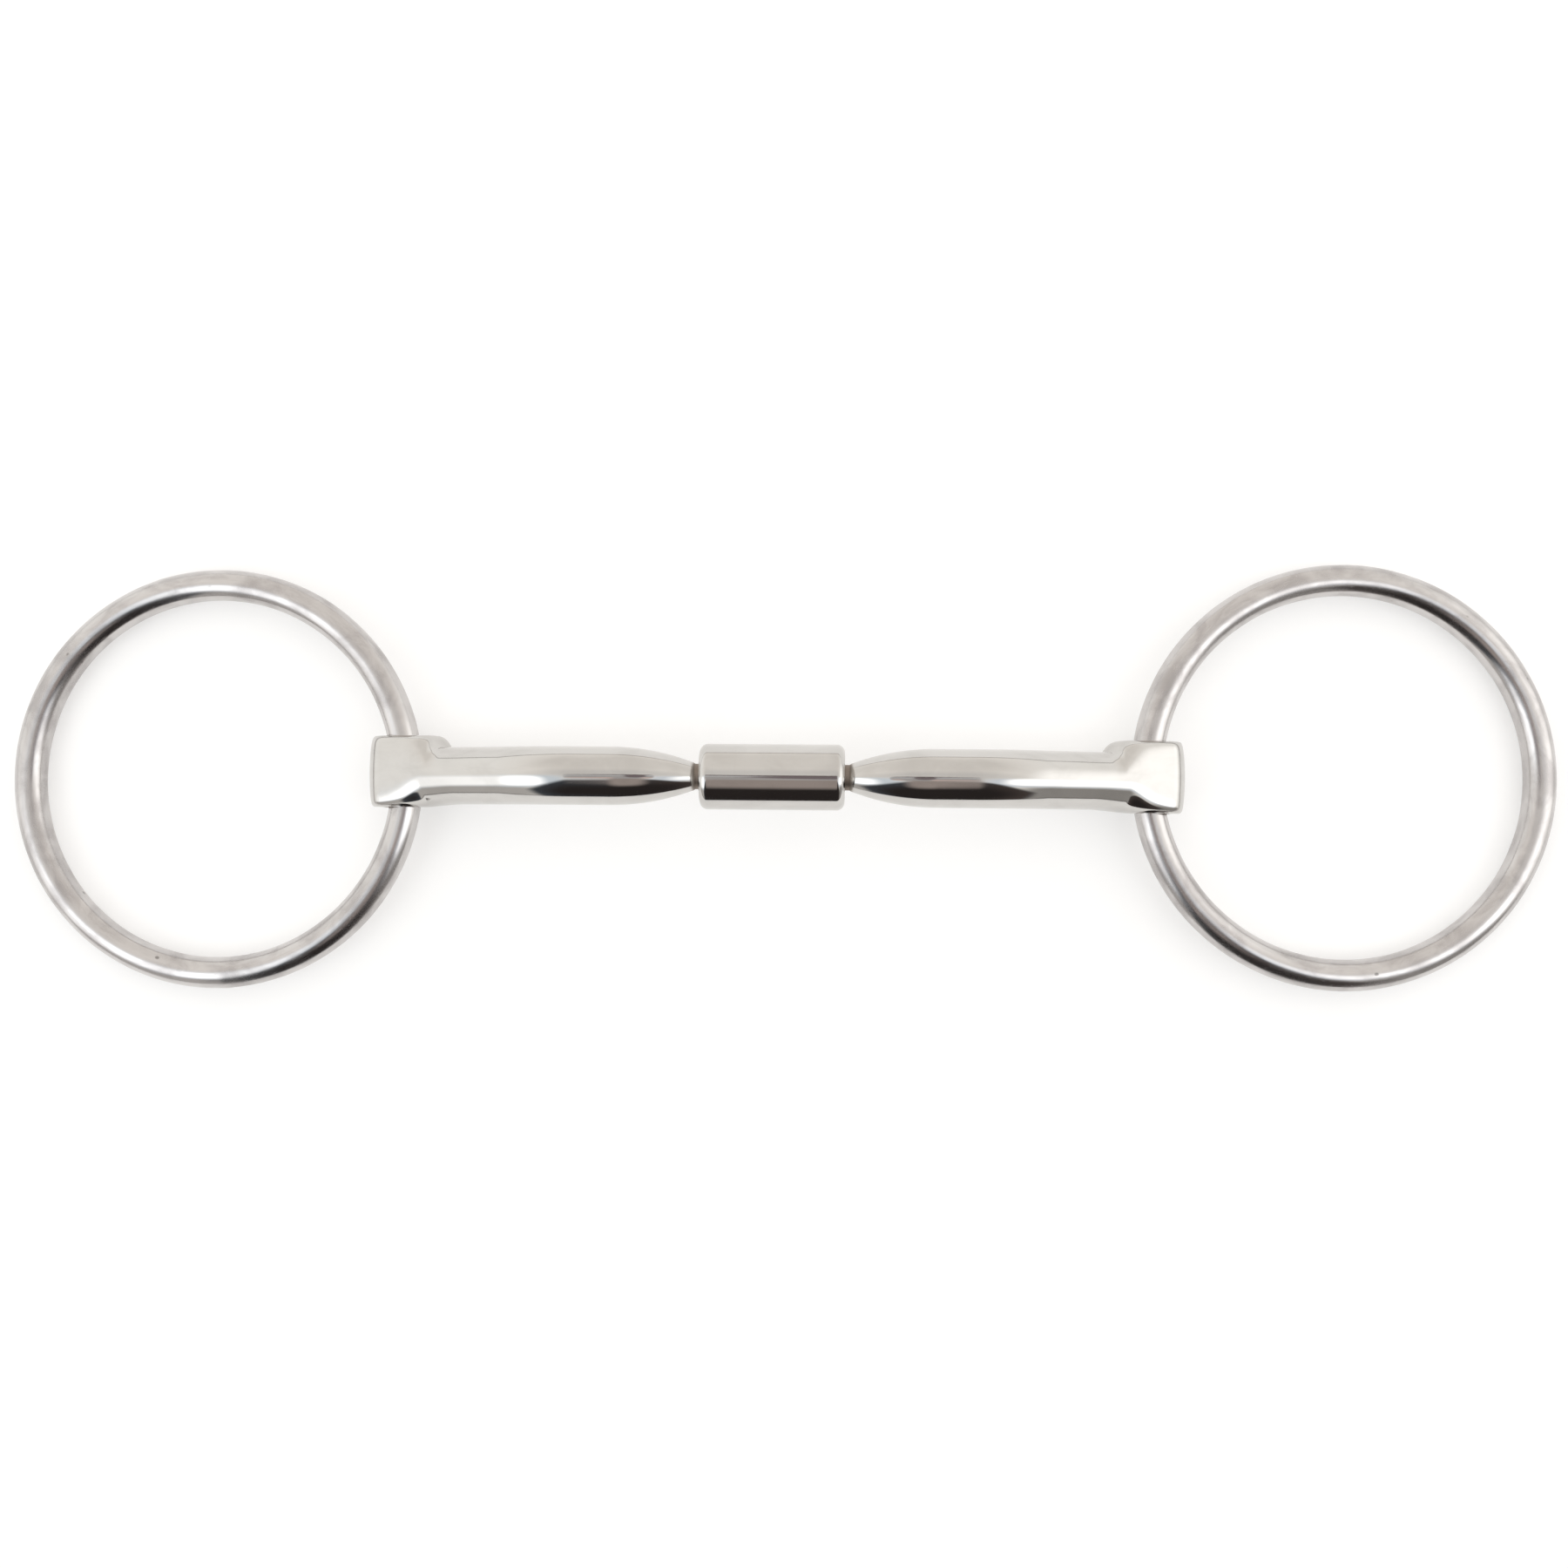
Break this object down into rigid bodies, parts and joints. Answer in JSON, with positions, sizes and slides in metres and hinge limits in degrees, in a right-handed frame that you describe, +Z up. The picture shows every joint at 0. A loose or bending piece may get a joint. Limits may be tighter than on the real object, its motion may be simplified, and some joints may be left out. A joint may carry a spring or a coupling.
{
  "type": "loose-ring snaffle bit",
  "caption": "Loose-ring snaffle bit: two bent arms that swivel in a central barrel, with a round wire ring running through the hole in each outer end.",
  "frame": {"origin": "under the middle of the barrel, on the flat surface the bit lies on; also the bottom centre of the whole bit's box", "axes": "+X along the mouthpiece from the barrel towards the right ring, +Y along the ring holes towards the side where the butts' shoulders stand out, +Z up from the surface the bit lies on, the way the barrel arches"},
  "size_m": [0.2774, 0.0774, 0.0222],
  "materials": {
    "arm_steel": "mirror-polished stainless steel",
    "barrel_steel": "mirror-polished stainless steel, faintly turned",
    "ring_steel": "polished stainless wire with fine lengthwise streaks",
    "bearing_steel": "machined stainless steel"
  },
  "bodies": {
    "barrel": {"barrel_sleeve": "barrel_steel", "left_collar": "bearing_steel", "right_collar": "bearing_steel"},
    "left_mouthpiece_arm": {"left_arm": "arm_steel", "left_spigot_head": "bearing_steel"},
    "right_mouthpiece_arm": {"right_arm": "arm_steel", "right_spigot_head": "bearing_steel"},
    "left_loose_ring": {"left_ring": "ring_steel"},
    "right_loose_ring": {"right_ring": "ring_steel"}
  },
  "joints": [
    {"name": "left_arm_swivel", "type": "hinge", "parent": "barrel", "child": "left_mouthpiece_arm", "pos_m": [-0.01245, 0, 0.01655], "axis": [1, 0, 0], "continuous": true},
    {"name": "right_arm_swivel", "type": "hinge", "parent": "barrel", "child": "right_mouthpiece_arm", "pos_m": [0.01245, 0, 0.01655], "axis": [1, 0, 0], "continuous": true},
    {"name": "left_ring_swing", "type": "hinge", "parent": "left_mouthpiece_arm", "child": "left_loose_ring", "pos_m": [-0.0663, 0, 0.0061], "axis": [0, 1, 0], "range_deg": [-147.28, 152.72]},
    {"name": "right_ring_swing", "type": "hinge", "parent": "right_mouthpiece_arm", "child": "right_loose_ring", "pos_m": [0.0663, 0, 0.0061], "axis": [0, -1, 0], "range_deg": [-147.28, 152.72]}
  ]
}
